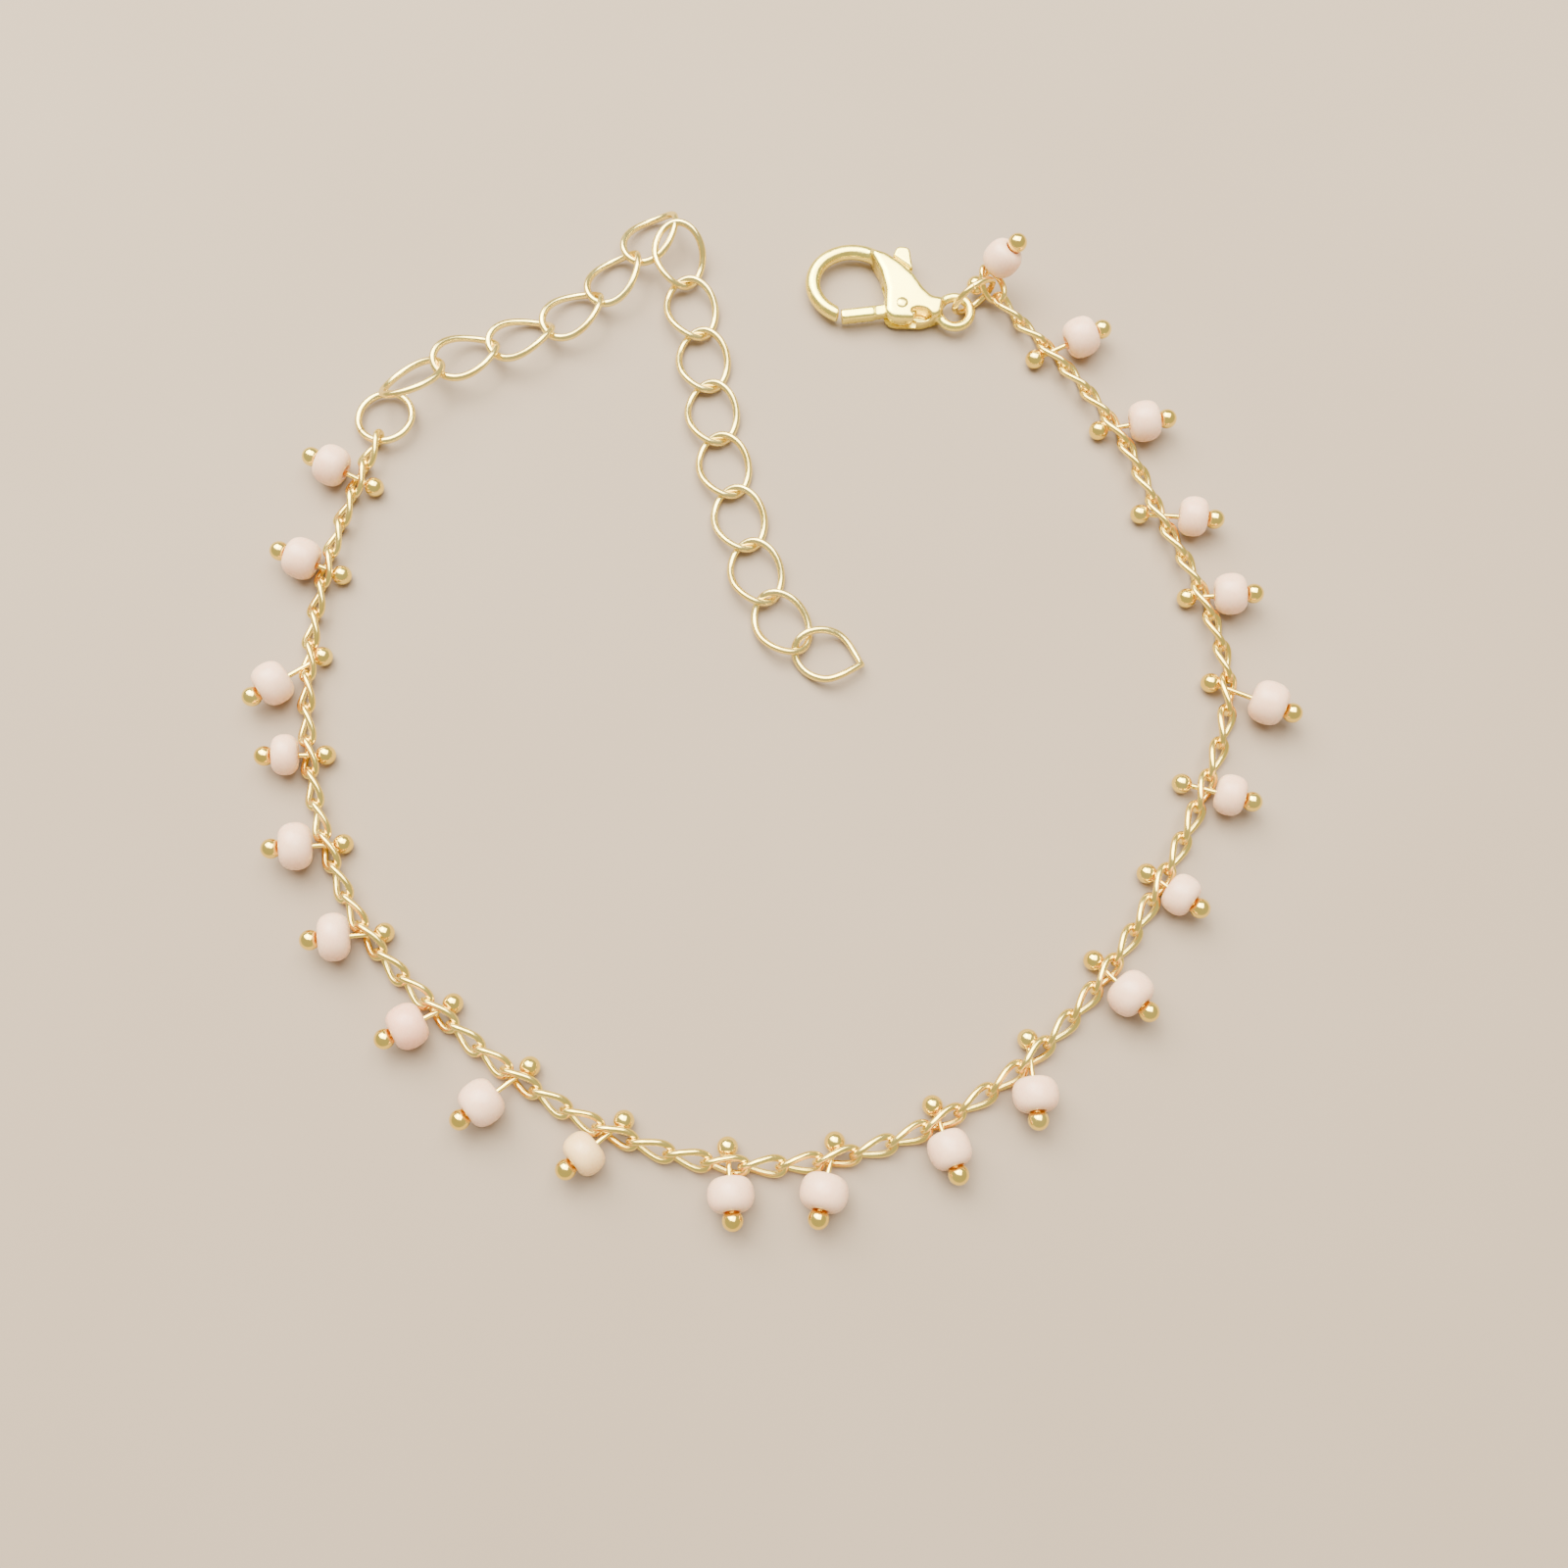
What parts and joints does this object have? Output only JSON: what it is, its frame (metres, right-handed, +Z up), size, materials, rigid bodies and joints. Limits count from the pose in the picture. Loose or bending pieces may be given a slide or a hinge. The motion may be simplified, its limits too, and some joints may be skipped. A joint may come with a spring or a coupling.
{
  "type": "bead drop chain bracelet",
  "caption": "Fine curb chain bracelet with a glass bead on each ball pin, an extender chain and a lobster clasp, lying open.",
  "frame": {"origin": "centre of the whole outline at the level of the surface that the bracelet lies on", "axes": "+Z up from that surface; +Y towards the open side, with the clasp and the extender; +X towards the clasp's end of the chain"},
  "size_m": [0.07, 0.0708, 0.0052],
  "materials": {
    "gold_plated_chain": "gold-plated, bright",
    "gold_plated_pins": "gold-plated, polished balls",
    "pale_gold_plated_chain": "pale gold-plated, bright",
    "polished_gold_plated_clasp": "gold-plated, polished casting",
    "pink_opaque_glass": "opaque, fire-polished",
    "cream_opaque_glass": "opaque, fire-polished",
    "peach_opaque_glass": "opaque, fire-polished"
  },
  "bodies": {
    "bracelet": {"curb_chain": "gold_plated_chain", "ball_pin_01": "gold_plated_pins", "ball_pin_02": "gold_plated_pins", "ball_pin_03": "gold_plated_pins", "ball_pin_04": "gold_plated_pins", "ball_pin_05": "gold_plated_pins", "ball_pin_06": "gold_plated_pins", "ball_pin_07": "gold_plated_pins", "ball_pin_08": "gold_plated_pins", "ball_pin_09": "gold_plated_pins", "ball_pin_10": "gold_plated_pins", "ball_pin_11": "gold_plated_pins", "ball_pin_12": "gold_plated_pins", "ball_pin_13": "gold_plated_pins", "ball_pin_14": "gold_plated_pins", "ball_pin_15": "gold_plated_pins", "ball_pin_16": "gold_plated_pins", "ball_pin_17": "gold_plated_pins", "ball_pin_18": "gold_plated_pins", "ball_pin_19": "gold_plated_pins", "ball_pin_20": "gold_plated_pins", "ball_pin_21": "gold_plated_pins", "ball_pin_22": "gold_plated_pins", "glass_bead_01": "pink_opaque_glass", "glass_bead_02": "pink_opaque_glass", "glass_bead_03": "pink_opaque_glass", "glass_bead_04": "pink_opaque_glass", "glass_bead_05": "pink_opaque_glass", "glass_bead_06": "pink_opaque_glass", "glass_bead_07": "peach_opaque_glass", "glass_bead_08": "pink_opaque_glass", "glass_bead_09": "cream_opaque_glass", "glass_bead_10": "pink_opaque_glass", "glass_bead_11": "pink_opaque_glass", "glass_bead_12": "pink_opaque_glass", "glass_bead_13": "pink_opaque_glass", "glass_bead_14": "pink_opaque_glass", "glass_bead_15": "pink_opaque_glass", "glass_bead_16": "pink_opaque_glass", "glass_bead_17": "pink_opaque_glass", "glass_bead_18": "pink_opaque_glass", "glass_bead_19": "pink_opaque_glass", "glass_bead_20": "pink_opaque_glass", "glass_bead_21": "pink_opaque_glass", "glass_bead_22": "pink_opaque_glass", "extender_jump_ring": "pale_gold_plated_chain", "extender_chain": "pale_gold_plated_chain", "clasp_jump_ring": "gold_plated_chain", "clasp_body": "polished_gold_plated_clasp"},
    "lever": {"clasp_lever": "polished_gold_plated_clasp"}
  },
  "joints": [
    {"name": "lever_hinge", "type": "hinge", "parent": "bracelet", "child": "lever", "pos_m": [0.0091, 0.0276, 0.00095], "axis": [0, 0, -1], "range_deg": [0, 25], "stiffness_Nm_per_rad": 0.0015, "springref_deg": -17.19}
  ]
}
